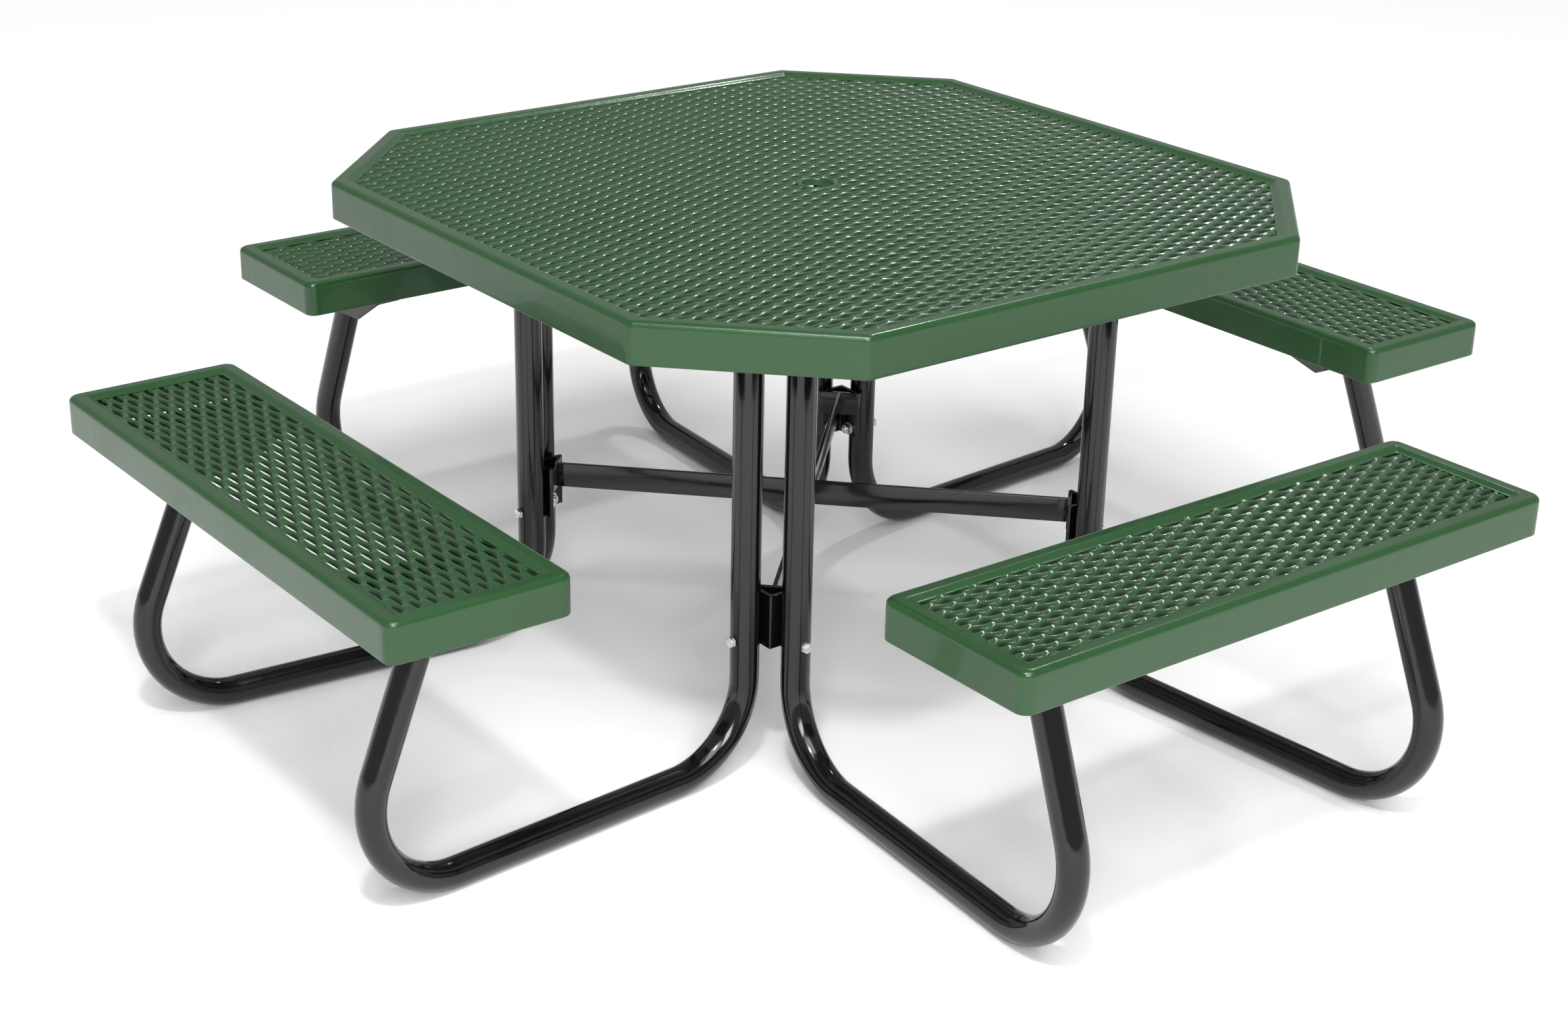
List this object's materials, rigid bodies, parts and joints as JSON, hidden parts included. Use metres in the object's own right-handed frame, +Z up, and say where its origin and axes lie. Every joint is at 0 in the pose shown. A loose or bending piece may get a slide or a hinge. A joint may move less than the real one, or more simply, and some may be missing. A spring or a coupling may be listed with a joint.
{
  "type": "table with attached benches",
  "caption": "Eight-sided outdoor table with attached backless benches: coated expanded steel tops on bent black tube legs with crossed braces.",
  "frame": {"origin": "on the ground under the middle of the table", "axes": "+Z up; +X and +Y out through two neighbouring benches"},
  "size_m": [1.94, 1.94, 0.7366],
  "materials": {
    "green_plastisol": "dark green thermoplastic coating on steel, glossy",
    "black_powder_coat": "glossy black powder coat",
    "zinc_plate": "bright zinc plated steel"
  },
  "bodies": {
    "root": {"back_seat_bracket_left": "black_powder_coat", "back_seat_bracket_right": "black_powder_coat", "back_seat_leg_left": "black_powder_coat", "back_seat_leg_right": "black_powder_coat", "back_seat_post_plate_left": "black_powder_coat", "back_seat_post_plate_right": "black_powder_coat", "brace_long": "black_powder_coat", "brace_plate_back_left": "black_powder_coat", "brace_plate_back_right": "black_powder_coat", "brace_plate_front_left": "black_powder_coat", "brace_plate_front_right": "black_powder_coat", "brace_short_back": "black_powder_coat", "brace_short_front": "black_powder_coat", "corner_angle_back_left": "black_powder_coat", "corner_angle_back_right": "black_powder_coat", "corner_angle_front_left": "black_powder_coat", "corner_angle_front_right": "black_powder_coat", "corner_bolts": "zinc_plate", "corner_nuts": "zinc_plate", "corner_washers": "zinc_plate", "front_seat_bracket_left": "black_powder_coat", "front_seat_bracket_right": "black_powder_coat", "front_seat_leg_left": "black_powder_coat", "front_seat_leg_right": "black_powder_coat", "front_seat_post_plate_left": "black_powder_coat", "front_seat_post_plate_right": "black_powder_coat", "left_seat_bracket_back": "black_powder_coat", "left_seat_bracket_front": "black_powder_coat", "left_seat_leg_back": "black_powder_coat", "left_seat_leg_front": "black_powder_coat", "left_seat_post_plate_back": "black_powder_coat", "left_seat_post_plate_front": "black_powder_coat", "right_seat_bracket_back": "black_powder_coat", "right_seat_bracket_front": "black_powder_coat", "right_seat_leg_back": "black_powder_coat", "right_seat_leg_front": "black_powder_coat", "right_seat_post_plate_back": "black_powder_coat", "right_seat_post_plate_front": "black_powder_coat", "seat_back_channels": "black_powder_coat", "seat_back_mesh": "green_plastisol", "seat_back_rim": "green_plastisol", "seat_bolts": "zinc_plate", "seat_front_channels": "black_powder_coat", "seat_front_mesh": "green_plastisol", "seat_front_rim": "green_plastisol", "seat_left_channels": "black_powder_coat", "seat_left_mesh": "green_plastisol", "seat_left_rim": "green_plastisol", "seat_nuts": "zinc_plate", "seat_right_channels": "black_powder_coat", "seat_right_mesh": "green_plastisol", "seat_right_rim": "green_plastisol", "table_mesh": "green_plastisol", "table_rim": "green_plastisol", "top_bolts": "zinc_plate", "top_strap_back": "black_powder_coat", "top_strap_front": "black_powder_coat", "umbrella_collar": "green_plastisol"}
  },
  "joints": []
}
